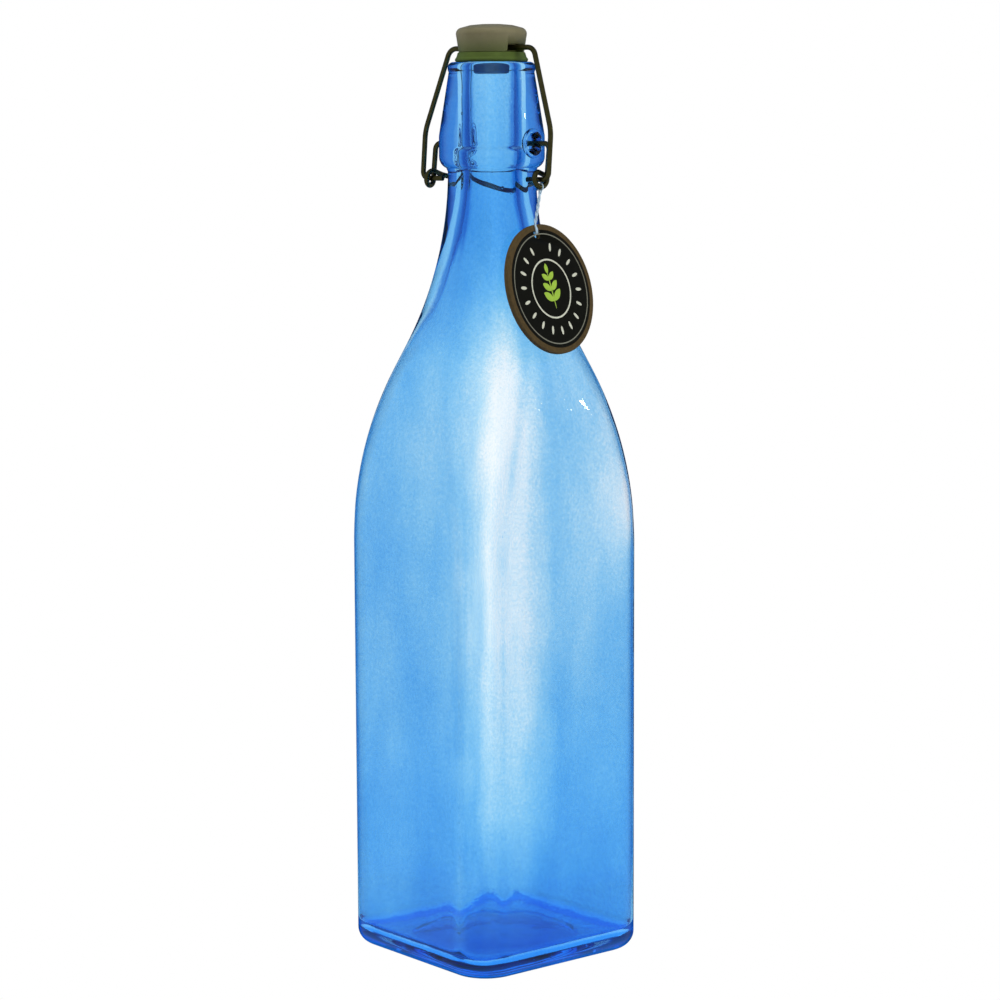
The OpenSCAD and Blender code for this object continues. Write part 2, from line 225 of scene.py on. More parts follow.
def loft(bm, rings):
    """Extrudes a loop of edges from ring to ring, and caps both ends."""
    loop = bmesh.ops.create_circle(bm, cap_ends=True, radius=1, segments=len(rings[0]))["verts"]
    for vert, place in zip(loop, rings[0]):
        vert.co = place
    for ring in rings[1:]:
        edges = [bm.edges.get((loop[i], loop[i - 1])) for i in range(len(loop))]
        made = bmesh.ops.extrude_edge_only(bm, edges=edges)["geom"]
        grown = {v for v in made if isinstance(v, bmesh.types.BMVert)}
        loop = [
            next(e.other_vert(v) for e in v.link_edges if e.other_vert(v) in grown) for v in loop
        ]
        for vert, place in zip(loop, ring):
            vert.co = place
    edges = [bm.edges.get((loop[i], loop[i - 1])) for i in range(len(loop))]
    bmesh.ops.edgeloop_fill(bm, edges=edges)


def finish_mesh(bm, name, material, sharp=40):
    """Closes a bmesh, faces it outwards and makes it an object in metres."""
    bmesh.ops.remove_doubles(bm, verts=bm.verts, dist=1e-5)
    bmesh.ops.recalc_face_normals(bm, faces=bm.faces)
    bmesh.ops.scale(bm, vec=(MM, MM, MM), verts=bm.verts)
    for face in bm.faces:
        face.smooth = True
    for edge in bm.edges:
        if len(edge.link_faces) == 2:
            edge.smooth = edge.calc_face_angle(0) < math.radians(sharp)
    mesh = bpy.data.meshes.new(name)
    bm.to_mesh(mesh)
    bm.free()
    mesh.materials.append(material)
    piece = bpy.data.objects.new(name, mesh)
    bpy.context.scene.collection.objects.link(piece)
    return piece


def cut_or_join(piece, tool, operation):
    """Applies a boolean of another object, which is then removed."""
    step = piece.modifiers.new(operation, "BOOLEAN")
    step.operation = operation
    step.solver = "EXACT"
    step.object = tool
    shape = piece.evaluated_get(bpy.context.evaluated_depsgraph_get())
    mesh = bpy.data.meshes.new_from_object(shape)
    piece.modifiers.clear()
    piece.data = mesh
    bpy.data.objects.remove(tool)


def spun(profile, name, material, steps=96, sharp=40, place=None):
    """A turned piece: a profile of (radius, height) spun round the axis."""
    bm = bmesh.new()
    verts = [bm.verts.new((r, 0, z)) for r, z in profile]
    edges = [bm.edges.new(pair) for pair in zip(verts, verts[1:])]
    bmesh.ops.spin(
        bm, geom=verts + edges, cent=(0, 0, 0), axis=(0, 0, 1), angle=2 * math.pi,
        steps=steps, use_merge=True,
    )
    bmesh.ops.remove_doubles(bm, verts=bm.verts, dist=1e-4)
    if place:
        bmesh.ops.transform(bm, matrix=place, verts=bm.verts)
    return finish_mesh(bm, name, material, sharp)


# Blue soda-lime glass. Its stain is a place on the tint's ramp, from white at 0 to the
# deepest blue at 1. The front and back corners are paler, as painted light, and the side
# corners deeper, as painted shade. The neck and the floor are deeper, and it is cloudy
# between, with a painted pale patch of light on the shoulder and a painted pale streak by one
# corner. The surface wavers slowly and has fine seeds, and the heel has a painted glow, an
# emission that stands in for light gathered in the thick glass.
PAINTED_LIGHT_CORNER_TURN = -0.14
CORNER_SHARE = 0.53
# Middles of a painted pale patch of light on the shoulder and a painted pale streak by a corner
PAINTED_LIGHT_SHOULDER_AT = (0.040, 0.008, 0.162)
PAINTED_LIGHT_EDGE_AT = (0.036, 0.031, 0.157)
SEED_SIZE = (0.10, 0.22)
STAIN_HEIGHT = 0.32
STAIN_UP_BOTTLE = (
    (0.0, 1.06), (0.015, 1.06), (0.022, 0.60), (0.07, 0.50), (0.12, 0.46), (0.28, 0.33),
    (0.5, 0.30), (0.64, 0.29), (0.73, 0.37), (0.84, 0.41), (0.87, 0.26), (1.0, 0.28),
)
TINT_RAMP = (
    (0.0, "#FFFFFF"), (0.125, "#DBF1FC"), (0.25, "#BBE4FA"), (0.375, "#A0D7F8"),
    (0.5, "#88CBF5"), (0.72, "#62B2EF"), (0.90, "#2A82DC"), (1.0, "#1472D6"),
)
blue_glass, out = new_material("blue soda-lime glass")
place = add_node(blue_glass, "ShaderNodeTexCoord").outputs["Object"]
spot = add_node(blue_glass, "ShaderNodeSeparateXYZ", i0=place).outputs
stretched = add_node(blue_glass, "ShaderNodeMapping", Vector=place, Scale=(1, 1, 0.42))

# Clouds, the corners' wander and flecks: what each is laid on, its cells to the metre,
# its detail and roughness, and how far it moves the stain either way
swings = []
for laid_on, scale, detail, rough, swing in (
    (stretched, 34.0, 5.0, 0.6, 0.12),
    (place, 15.0, 3.0, 0.6, 0.13),
    (place, 900.0, 1.0, 0.5, 0.06),
):
    drift = add_node(blue_glass, "ShaderNodeTexNoise", Vector=laid_on, Scale=scale,
                     Detail=detail, Roughness=rough)
    swings.append(add_node(blue_glass, "ShaderNodeMapRange", Value=drift, From_Min=0.3,
                           From_Max=0.7, To_Min=-swing, To_Max=swing))
cloudy, wander, fleck = swings

# How far a point is from the planes through the corners: 0 at a corner, and 1 or -1 at the
# middle of a side. The painted light on the front and back corners wanders, and sits a little
# off the bottle's own corners.
across = add_node(blue_glass, "ShaderNodeMath", {"operation": "ABSOLUTE"}, i0=spot["X"])
along = add_node(blue_glass, "ShaderNodeMath", {"operation": "ABSOLUTE"}, i0=spot["Y"])
apart = add_node(blue_glass, "ShaderNodeMath", {"operation": "SUBTRACT"}, i0=across, i1=along)
both = add_node(blue_glass, "ShaderNodeMath", {"operation": "ADD"}, i0=across, i1=along)
off_corner = add_node(blue_glass, "ShaderNodeMath", {"operation": "DIVIDE"}, i0=apart, i1=both)
straight_off = add_node(blue_glass, "ShaderNodeMath", {"operation": "ABSOLUTE"},
                        i0=off_corner)
wandering = add_node(blue_glass, "ShaderNodeMath", {"operation": "ADD"},
                     i0=off_corner, i1=wander)
facing = add_node(blue_glass, "ShaderNodeMath", {"operation": "SIGN"}, i0=spot["X"])
turned_off = add_node(blue_glass, "ShaderNodeMath", {"operation": "MULTIPLY_ADD"},
                      i0=facing, i1=PAINTED_LIGHT_CORNER_TURN, i2=wandering)
painted_light_off = add_node(blue_glass, "ShaderNodeMath", {"operation": "ABSOLUTE"}, i0=turned_off)

# How far out a point is: the larger of its distances from the two middle planes or, at a
# corner, about half their sum
to_wall = add_node(blue_glass, "ShaderNodeMath", {"operation": "MAXIMUM"}, i0=across, i1=along)
to_corner = add_node(blue_glass, "ShaderNodeMath", {"operation": "MULTIPLY"}, i0=both,
                     i1=CORNER_SHARE)
outward = add_node(blue_glass, "ShaderNodeMath", {"operation": "MAXIMUM"},
                   i0=to_wall, i1=to_corner)
# Distances to the painted patch of light on the shoulder and the painted streak by a corner
from_shoulder_light = add_node(blue_glass, "ShaderNodeVectorMath", {"operation": "DISTANCE"},
                         i0=place, i1=PAINTED_LIGHT_SHOULDER_AT)
from_edge_light = add_node(blue_glass, "ShaderNodeVectorMath", {"operation": "DISTANCE"},
                     i0=place, i1=PAINTED_LIGHT_EDGE_AT)

# Each fade: what it reads, from where to where, and its value at each end. Heights and
# distances are in metres.
fades = {}
for name, reads, start, end, first, last, kind in (
    ("share of height", spot["Z"], 0.0, STAIN_HEIGHT, 0.0, 1.0, "LINEAR"),
    ("square part", spot["Z"], 0.210, 0.250, 1.0, 0.0, "SMOOTHSTEP"),
    ("above floor", spot["Z"], 0.012, 0.034, 0.0, 1.0, "LINEAR"),
    # painted light on the front and back corners, painted shade on the side corners
    ("painted light corners", painted_light_off, 0.11, 0.45, -0.235, 0.0, "SMOOTHSTEP"),
    ("painted shade corners", straight_off, 0.03, 0.16, 0.34, 0.0, "SMOOTHSTEP"),
    ("floor height", spot["Z"], 0.008, 0.011, 1.08, 0.0, "LINEAR"),
    ("floor reach", outward, 0.0335, 0.0358, 1.0, 0.0, "LINEAR"),
    # a painted glow in the heel
    ("painted glow height", spot["Z"], 0.002, 0.006, 0.34, 0.0, "LINEAR"),
    ("painted glow reach", outward, 0.024, 0.031, 0.06, 1.0, "LINEAR"),
    # painted light: a pale patch on the shoulder and a pale streak by a corner
    ("painted light shoulder", from_shoulder_light, 0.02, 0.085, -0.15, 0.0, "SMOOTHSTEP"),
    ("painted light edge", from_edge_light, 0.004, 0.022, -0.32, 0.0, "SMOOTHSTEP"),
):
    fades[name] = add_node(blue_glass, "ShaderNodeMapRange", {"interpolation_type": kind},
                           Value=reads, From_Min=start, From_Max=end, To_Min=first, To_Max=last)

# The front and back corners have X and Y of opposite signs, and the side corners of the
# same sign
product = add_node(blue_glass, "ShaderNodeMath", {"operation": "MULTIPLY"},
                   i0=spot["X"], i1=spot["Y"])
side_pair = add_node(blue_glass, "ShaderNodeMath", {"operation": "GREATER_THAN"},
                     i0=product, i1=0.0)
# The front and back corners get painted light and the side corners painted shade
either = add_node(blue_glass, "ShaderNodeMix", Factor=side_pair,
                  i2=fades["painted light corners"], i3=fades["painted shade corners"])
squareness = add_node(blue_glass, "ShaderNodeMath", {"operation": "MULTIPLY"},
                      i0=fades["square part"], i1=fades["above floor"])
corner = add_node(blue_glass, "ShaderNodeMath", {"operation": "MULTIPLY"},
                  i0=either, i1=squareness)
# A painted glow: the heel's glass emits a faint blue, in place of light gathered in thick glass
painted_glow = add_node(blue_glass, "ShaderNodeMath", {"operation": "MULTIPLY"},
                i0=fades["painted glow height"], i1=fades["painted glow reach"])
floor_stain = add_node(blue_glass, "ShaderNodeMath", {"operation": "MULTIPLY"},
                       i0=fades["floor height"], i1=fades["floor reach"])
deepening = add_node(blue_glass, "ShaderNodeFloatCurve", Value=fades["share of height"])
stain_curve = deepening.mapping.curves[0]
for at, depth in STAIN_UP_BOTTLE:
    if at in (0.0, 1.0):
        stain_curve.points[int(at)].location = (at, depth)
    else:
        stain_curve.points.new(at, depth)
deepening.mapping.update()
stain = add_node(blue_glass, "ShaderNodeMath", {"operation": "MAXIMUM"},
                 i0=deepening, i1=floor_stain)
for part in (corner, cloudy, fades["painted light shoulder"], fades["painted light edge"], fleck):
    stain = add_node(blue_glass, "ShaderNodeMath", {"operation": "ADD"}, i0=stain, i1=part)
stain.use_clamp = True
tint = add_node(blue_glass, "ShaderNodeValToRGB", Fac=stain)
fill_ramp(tint.color_ramp, TINT_RAMP)

waver = add_node(blue_glass, "ShaderNodeTexNoise", Vector=place, Scale=55.0, Detail=2.0,
                 Roughness=0.45)
seed_cells = add_node(blue_glass, "ShaderNodeTexVoronoi", Vector=place, Scale=420.0)
seed = add_node(blue_glass, "ShaderNodeMapRange", {"interpolation_type": "SMOOTHSTEP"},
                Value=seed_cells, From_Min=SEED_SIZE[0], From_Max=SEED_SIZE[1],
                To_Min=1.0, To_Max=0.0)
slow = add_node(blue_glass, "ShaderNodeBump", Height=waver, Strength=0.16, Distance=0.002)
grain = add_node(blue_glass, "ShaderNodeBump", Height=seed, Strength=0.12, Distance=0.0001,
                 Normal=slow)
glass = add_node(blue_glass, "ShaderNodeBsdfPrincipled", Base_Color=tint, Roughness=0.0,
                 IOR=1.5, Transmission_Weight=1.0, Emission_Color=to_linear("#1F7AD0"),
                 Emission_Strength=painted_glow, Normal=grain)
inside = add_node(blue_glass, "ShaderNodeVolumeAbsorption", Color=to_linear(GLASS_TINT),
                  Density=GLASS_DENSITY)
blue_glass.node_tree.links.new(glass.outputs["BSDF"], out.inputs["Surface"])
blue_glass.node_tree.links.new(inside.outputs["Volume"], out.inputs["Volume"])

outer_curve = two_arcs(BODY_W / 2, CORNER_R, NECK_R)
inner_half = BODY_W / 2 - WALL
inner_corner = CORNER_R - 2 * WALL
inner_curve = two_arcs(inner_half, inner_corner, BORE_R + 0.3)
outer_share = CORNER_R / (BODY_W / 2)
inner_share = inner_corner / inner_half

rings = []
for r in steps_between(0.4, PUSHUP_R, 3.3):
    share = r / PUSHUP_R
    rings.append(round_ring(r, PUSHUP_H * (1 - share ** 2) + 0.25 * share ** 8))
rings.append(round_ring(PUSHUP_R + 1.2, 0.0))
for i in range(13):
    t = math.radians(90 * i / 12)
    inset = HEEL_R * (1 - math.sin(t))
    rings.append(square_ring(BODY_W / 2 - inset, CORNER_R - inset, HEEL_R * (1 - math.cos(t))))
for z in steps_between(HEEL_R + 2, BODY_H - 2, 8):
    rings.append(square_ring(BODY_W / 2, CORNER_R, z))
for z in steps_between(0, SHOULDER_H - 1.2, 2.8):
    rings.append(shoulder_ring(outer_curve, outer_share, z))

# The collar's profile runs up its outside, over the rim, and down the bore to a soft ledge
collar = [(NECK_R + 0.12, COLLAR_Z - 0.6), (NECK_R + 0.35, COLLAR_Z - 0.15)]
collar += arc_points(COLLAR_R - COLLAR_ROUND, COLLAR_Z + COLLAR_ROUND, COLLAR_ROUND, -66, 0, 12)
collar += [(COLLAR_R, COLLAR_Z + z) for z in (6.0, 8.0, 9.8)]
cone_z = COLLAR_Z + COLLAR_H * 0.31
bead_z = RIM_Z - RIM_H
for i in range(9):
    cone_r = COLLAR_R + (RIM_R - 0.35 - COLLAR_R) * i / 8
    collar.append((cone_r, cone_z + (bead_z - cone_z) * i / 8))
collar += [(RIM_R - 0.25, bead_z + 0.25), (RIM_R - 0.08, bead_z + 0.6)]
collar += arc_points(RIM_R - 1.9, RIM_Z - 1.9, 1.9, 0, 90, 10)
collar += arc_points(BORE_R + 1.3, RIM_Z - 1.3, 1.3, 90, 180, 8)
collar += [(BORE_R, z) for z in steps_between(RIM_Z - 5, COLLAR_Z + 8.2, 6)]
collar += [(BORE_R + 0.25, COLLAR_Z + 7.5), (BORE_R + 0.8, COLLAR_Z + 6.9)]
collar += [(BORE_R + 1.1, COLLAR_Z + 6.0), (BORE_R + 1.1, COLLAR_Z + 4.8)]
collar += [(BORE_R + 1.0, COLLAR_Z + 3.0), (BORE_R + 0.5, COLLAR_Z + 0.8)]
rings += [round_ring(r, z) for r, z in collar]
outside_count = len(rings)
for z in steps_between(SHOULDER_H - 1, 0, 2.8):
    rings.append(shoulder_ring(inner_curve, inner_share, z))
for z in steps_between(BODY_H - 3, FLOOR_H + HEEL_R + 2, 3.0):
    rings.append(square_ring(inner_half, inner_corner, z))
for i in range(13):
    t = math.radians(90 * (12 - i) / 12)
    inset = HEEL_R * (1 - math.sin(t))
    rings.append(square_ring(
        inner_half - inset, inner_corner - inset, FLOOR_H + HEEL_R * (1 - math.cos(t))
    ))
for r in steps_between(PUSHUP_R, 0.4, 3.3):
    rings.append(round_ring(r, FLOOR_H + PUSHUP_H * (1 - (r / PUSHUP_R) ** 2)))

# The blown inside wavers by a few tenths of a millimetre, slowly along the bottle, up to
# the neck
WAVER_TOP = 262
SWELL = 0.34
RIPPLE = 0.10
for ring in rings[outside_count:]:
    for point in ring:
        flat = Vector((point.x, point.y, 0))
        if flat.length < 9 or point.z > WAVER_TOP:
            continue
        swell = noise.noise(Vector((point.x / 26, point.y / 26, point.z / 55)))
        ripple = noise.noise(Vector((point.x / 9, point.y / 9, point.z / 24 + 40)))
        point += flat.normalized() * (SWELL * swell + RIPPLE * ripple)

bm = bmesh.new()
loft(bm, rings)
bottle = finish_mesh(bm, "bottle_glass", blue_glass, sharp=60)

# A boss is joined on at each side and dished out round the lever's pivot
for side in (0, math.pi):
    on_pivot = (
        Matrix.Translation((0, 0, PIVOT_Z))
        @ Matrix.Rotation(CLOSURE_TURN + side, 4, "Z")
        @ Matrix.Rotation(math.pi / 2, 4, "Y")
    )
    boss = [(0, 11.0), (BOSS_R + 0.5, 11.0), (BOSS_R + 0.5, COLLAR_R - 1.4)]
    boss += [(BOSS_R + 0.2, COLLAR_R - 0.9), (BOSS_R, COLLAR_R - 0.4)]
    boss += arc_points(BOSS_R - BOSS_EDGE, BOSS_X - BOSS_EDGE, BOSS_EDGE, 0, 90, 6)
    boss += [(0, BOSS_X)]
    cut_or_join(bottle, spun(boss, "boss", blue_glass, place=on_pivot), "UNION")
    dish = [(0, 13.2), (0.98, 13.2), (0.98, BOSS_X - 2.9), (1.9, BOSS_X - 2.8)]
    dish += [(2.6, BOSS_X - 2.4), (3.2, BOSS_X - 1.3), (3.7, BOSS_X - 0.3), (4.3, BOSS_X + 0.1)]
    dish += [(4.6, BOSS_X + 1.0), (0, BOSS_X + 1.0)]
    cut_or_join(bottle, spun(dish, "dish", blue_glass, place=on_pivot), "DIFFERENCE")

bm = bmesh.new()
bm.from_mesh(bottle.data)
for face in bm.faces:
    face.smooth = True
for edge in bm.edges:
    if len(edge.link_faces) == 2:
        edge.smooth = edge.calc_face_angle(0) < math.radians(50)
bm.to_mesh(bottle.data)
bm.free()
bottle.data.materials.clear()
bottle.data.materials.append(blue_glass)
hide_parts("bottle")
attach(bottle, "bottle")


# ---------------------------------------------------------------- stopper
# The stopper is one turned piece of olive-grey plastic: a domed head, a thin stem inside
# the gasket and a bead below it. The bail's wire runs through it above the gasket.

GASKET_Z = RIM_Z + 0.6
GASKET_H = 2.6
HEAD_Z = GASKET_Z + GASKET_H
HEAD_H = 9.6
HEAD_R = 12.1
HEAD_BASE_R = 11.2
HOLE_Z = HEAD_Z + 1.5
BEAD_R = 6.1
BEAD_H = 4.4
STEM_R = 4.5
CROWN_H = 1.2
HOLE_R = 0.98
WIRE_R = 0.9
CORE_R = 7.2
SLOT_W = 8.4
SLOT_H = 5.0
SLOT_TOP = 1.3


def two_tone(material, scale, detail, rough, dark, light):
    """A dark and a light tone that noise mixes, and the noise. Scale is cells to the metre."""
    on_piece = add_node(material, "ShaderNodeTexCoord").outputs["Object"]
    mottle = add_node(material, "ShaderNodeTexNoise", Vector=on_piece, Scale=scale,
                      Detail=detail, Roughness=rough)
    tones = add_node(material, "ShaderNodeMix", {"data_type": "RGBA"}, Factor=mottle,
                     i6=to_linear(dark), i7=to_linear(light))
    return tones, mottle


# Moulded polypropylene with a satin face, a little mottled. It turns a darker green toward
# its lower edge, and its stem is slate blue.
stopper_plastic, out = new_material("moulded polypropylene")
tone = two_tone(stopper_plastic, 160.0, 5.0, 0.6, "#6A6648", "#857E60")[0]
place = add_node(stopper_plastic, "ShaderNodeTexCoord").outputs["Object"]
height = add_node(stopper_plastic, "ShaderNodeSeparateXYZ", i0=place).outputs["Z"]
skirt = add_node(stopper_plastic, "ShaderNodeMapRange", {"interpolation_type": "SMOOTHSTEP"},
                 Value=height, From_Min=(HEAD_Z - 0.4) * MM, From_Max=(HEAD_Z + 6.6) * MM,
                 To_Min=0.85, To_Max=0.0)
stem = add_node(stopper_plastic, "ShaderNodeMapRange", Value=height,
                From_Min=(RIM_Z - 1.0) * MM, From_Max=(RIM_Z + 1.0) * MM,
                To_Min=1.0, To_Max=0.0)
for part, colour in ((skirt, "#535E2B"), (stem, "#587F9E")):
    tone = add_node(stopper_plastic, "ShaderNodeMix", {"data_type": "RGBA"},
                    Factor=part, i6=tone, i7=to_linear(colour))
fine = add_node(stopper_plastic, "ShaderNodeTexNoise", Vector=place, Scale=1500.0, Detail=2.0)
skin = add_node(stopper_plastic, "ShaderNodeBump", Height=fine, Strength=0.25,
                Distance=0.0001)
plastic = add_node(stopper_plastic, "ShaderNodeBsdfPrincipled", Base_Color=tone,
                   Roughness=0.48, IOR=1.49, Subsurface_Weight=0.12,
                   Subsurface_Radius=(0.002, 0.0015, 0.001), Normal=skin)
stopper_plastic.node_tree.links.new(plastic.outputs["BSDF"], out.inputs["Surface"])

head = [(0, GASKET_Z - BEAD_H)]
head += arc_points(BEAD_R - 1.2, GASKET_Z - BEAD_H + 1.2, 1.2, -90, 0, 6)
head += [(BEAD_R, GASKET_Z - 0.3), (BEAD_R - 0.3, GASKET_Z), (STEM_R, GASKET_Z)]
head += [(STEM_R, HEAD_Z)]
head += arc_points(HEAD_BASE_R - 0.35, HEAD_Z + 0.35, 0.35, -90, 0, 4)
head += arc_points(HEAD_R - 2.2, HEAD_Z + HEAD_H - CROWN_H - 2.2, 2.2, 0, 75, 9)
head += [(HEAD_R * 0.6, HEAD_Z + HEAD_H - 0.42), (HEAD_R * 0.3, HEAD_Z + HEAD_H - 0.1)]
head += [(0, HEAD_Z + HEAD_H)]
stopper = spun(head, "stopper_head", stopper_plastic, steps=128, sharp=35)

turned = Matrix.Rotation(CLOSURE_TURN, 4, "Z")
bm = bmesh.new()
bmesh.ops.create_cone(bm, cap_ends=True, segments=32, radius1=HOLE_R, radius2=HOLE_R, depth=40)
bmesh.ops.rotate(bm, matrix=Matrix.Rotation(math.pi / 2, 3, "Y"), verts=bm.verts)
bmesh.ops.translate(bm, vec=(0, 0, HOLE_Z), verts=bm.verts)
bmesh.ops.transform(bm, matrix=turned, verts=bm.verts)
cut_or_join(stopper, finish_mesh(bm, "wire_hole", stopper_plastic), "DIFFERENCE")
for side in (-1, 1):
    bm = bmesh.new()
    bmesh.ops.create_cube(bm, size=1)
    bmesh.ops.scale(bm, vec=(10, SLOT_W, SLOT_H), verts=bm.verts)
    slot_middle = (side * (CORE_R + 5), 0, HOLE_Z + SLOT_TOP - SLOT_H / 2)
    bmesh.ops.translate(bm, vec=slot_middle, verts=bm.verts)
    bmesh.ops.transform(bm, matrix=turned, verts=bm.verts)
    cut_or_join(stopper, finish_mesh(bm, "wire_slot", stopper_plastic), "DIFFERENCE")
stopper.data.materials.clear()
stopper.data.materials.append(stopper_plastic)
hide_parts("stopper")
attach(stopper, "stopper")


# ---------------------------------------------------------------- gasket
# The gasket is a moulded ring of green rubber that sits round the stem and flares over
# the rim of the mouth.

# Nitrile rubber, matt, with a faint bloom
gasket_rubber, out = new_material("green nitrile rubber")
tone = two_tone(gasket_rubber, 240.0, 4.0, 0.5, "#3C4C17", "#566B26")[0]
rubber = add_node(gasket_rubber, "ShaderNodeBsdfPrincipled", Base_Color=tone, Roughness=0.62,
                  IOR=1.5)
gasket_rubber.node_tree.links.new(rubber.outputs["BSDF"], out.inputs["Surface"])

GASKET_R = 12.5
seat = RIM_Z + 0.03
ring_profile = [(STEM_R + 0.05, seat), (GASKET_R - 0.8, seat)]
ring_profile += arc_points(GASKET_R - 0.7, seat + 0.7, 0.7, -90, 60, 7)
ring_profile += [(GASKET_R - 0.6, GASKET_Z + 1.2), (GASKET_R - 0.95, HEAD_Z - 0.2)]
ring_profile += [(GASKET_R - 1.1, HEAD_Z), (STEM_R + 0.05, HEAD_Z), (STEM_R + 0.05, seat)]
gasket = spun(ring_profile, "gasket_ring", gasket_rubber, steps=128, sharp=50)
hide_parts("gasket")
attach(gasket, "stopper")


# ---------------------------------------------------------------- bail wire
# The bail is one piece of spring wire: across through the stopper, down both sides, and
# in through the lever's eyes with a short bent end.

WIRE_SIDES = 20
EYE_BACK = 4.0
EYE_DROP = 12.0
EYE_Z = PIVOT_Z - EYE_DROP
ARM_X = 25.2
LEG_X = ARM_X + 2 * WIRE_R + 0.8
BAIL_END = 9.3
BAIL_TOP_X = 18.4
BAIL_BEND_H = 16.3
BAIL_FOOT_R = 2.4
BAIL_KNEE_R = 16
BAIL_TOP_R = 3.6
BAIL_H = math.hypot(EYE_BACK, HOLE_Z - EYE_Z)

# Drawn spring steel with a dark oil-blackened face that is worn brighter in places; both tones
# are lightened as a painted sheen, in place of lamp reflections the steel does not catch
wire_steel, out = new_material("blackened spring steel")
tone, wear_and_sheen = two_tone(wire_steel, 420.0, 4.0, 0.65, "#383A1C", "#7C7850")
dull = add_node(wire_steel, "ShaderNodeMapRange", Value=wear_and_sheen, To_Min=0.24, To_Max=0.42)
steel = add_node(wire_steel, "ShaderNodeBsdfPrincipled", Base_Color=tone, Metallic=1.0,
                 Roughness=dull)
wire_steel.node_tree.links.new(steel.outputs["BSDF"], out.inputs["Surface"])


def bend(a, b, c, r, steps):
    """Points round a bend of radius r at corner b, on the way from a to c."""
    u, w = (a - b).normalized(), (c - b).normalized()
    opening = u.angle(w)
    centre = b + (u + w).normalized() * r / math.sin(opening / 2)
    start = b + u * r / math.tan(opening / 2) - centre
    end = b + w * r / math.tan(opening / 2) - centre
    turn = math.pi - opening
    return [
        centre + start * math.sin(turn * (1 - i / steps)) / math.sin(turn)
        + end * math.sin(turn * i / steps) / math.sin(turn)
        for i in range(steps + 1)
    ]


def wire_mesh(route, r, name, material, sides=WIRE_SIDES):
    """Round wire along a route, with softly rounded cut ends."""
    count = len(route)
    along = [
        (route[min(i + 1, count - 1)] - route[max(i - 1, 0)]).normalized() for i in range(count)
    ]
    normal = along[0].orthogonal().normalized()
    placed = [(route[0] - along[0] * 0.25, 0.55), (route[0] - along[0] * 0.12, 0.85)]
    placed = [(p, s, along[0], normal) for p, s in placed]
    for point, heading in zip(route, along):
        normal = (normal - heading * normal.dot(heading)).normalized()
        placed.append((point, 1.0, heading, normal))
    placed += [(route[-1] + along[-1] * 0.12, 0.85, along[-1], normal)]
    placed += [(route[-1] + along[-1] * 0.25, 0.55, along[-1], normal)]
    wire_rings = []
    for point, size, heading, side in placed:
        other = heading.cross(side)
        wire_rings.append([
            point + r * size * (math.cos(t) * side + math.sin(t) * other)
            for t in [2 * math.pi * k / sides for k in range(sides)]
        ])
    shape = bmesh.new()
    loft(shape, wire_rings)
    bmesh.ops.transform(shape, matrix=turned, verts=shape.verts)
    return finish_mesh(shape, name, material, sharp=70)


def mirrored(route):
    return [Vector((-p.x, p.y, p.z)) for p in reversed(route)]


def on_bail(x, h):
    """Point of the bail's leaning plane, x from the middle and h above the eyes."""
    return Vector((x, -EYE_BACK + EYE_BACK * h / BAIL_H, EYE_Z + (HOLE_Z - EYE_Z) * h / BAIL_H))


foot, knee, top = on_bail(LEG_X, 0), on_bail(LEG_X, BAIL_BEND_H), on_bail(BAIL_TOP_X, BAIL_H)
half_bail = [on_bail(LEG_X - BAIL_END + 0.25, 0)]
half_bail += bend(on_bail(0, 0), foot, knee, BAIL_FOOT_R, 12)
half_bail += bend(foot, knee, top, BAIL_KNEE_R, 14)
half_bail += bend(knee, top, on_bail(0, BAIL_H), BAIL_TOP_R, 12)
bail = wire_mesh(half_bail + mirrored(half_bail), WIRE_R, "bail_wire_bent", wire_steel)
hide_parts("bail_wire")
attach(bail, "bail")


# ---------------------------------------------------------------- lever wire
# The lever is bent from the same spring wire: its ends sit in the collar's bosses, each
# side makes one eye for the bail, and a bow joins them behind the neck as the handle.

EYE_R = 2.5
EYE_PITCH = 2.0
ARM_BEND_R = 2.2
BOW_R = NECK_R + 1.0 + WIRE_R
BOW_FALL = 6.6
BOW_SLOPE = math.atan2(BOW_FALL, BOW_R + EYE_BACK)
HOOK_Y = 1.2
HOOK_BEND_R = 2.6
TIP_X = COLLAR_R - 4.5
LEAVE_X = ARM_X - EYE_PITCH
eye_y = -EYE_BACK
eye_in = math.atan2(EYE_DROP, EYE_BACK) - math.acos(EYE_R / math.hypot(EYE_DROP, EYE_BACK))
eye_out = -1.5 * math.pi - BOW_SLOPE
top_y = eye_y + EYE_R * math.cos(eye_out)
top_z = EYE_Z + EYE_R * math.sin(eye_out)


def bow_height(y):
    return top_z - (y - top_y) * math.tan(BOW_SLOPE)


def bow_point(t):
    y = BOW_R * math.sin(t)
    return Vector((BOW_R * math.cos(t), y, bow_height(y)))


arm_foot = Vector((ARM_X, eye_y + EYE_R * math.cos(eye_in), EYE_Z + EYE_R * math.sin(eye_in)))
hook = Vector((LEAVE_X, HOOK_Y, bow_height(HOOK_Y)))
bow_from = math.atan2(HOOK_Y, LEAVE_X) + math.acos(BOW_R / math.hypot(LEAVE_X, HOOK_Y))
half_lever = [Vector((TIP_X + 0.25, 0, PIVOT_Z))]
arm_corner = Vector((ARM_X, 0, PIVOT_Z))
half_lever += bend(Vector((0, 0, PIVOT_Z)), arm_corner, arm_foot, ARM_BEND_R, 12)
for i in range(49):
    t = eye_in + (eye_out - eye_in) * i / 48
    half_lever.append(Vector((
        ARM_X - EYE_PITCH * i / 48, eye_y + EYE_R * math.cos(t), EYE_Z + EYE_R * math.sin(t)
    )))
half_lever += bend(Vector((LEAVE_X, top_y, top_z)), hook, bow_point(bow_from), HOOK_BEND_R, 10)
half_lever += [bow_point(bow_from + (math.pi / 2 - bow_from) * i / 24) for i in range(25)]
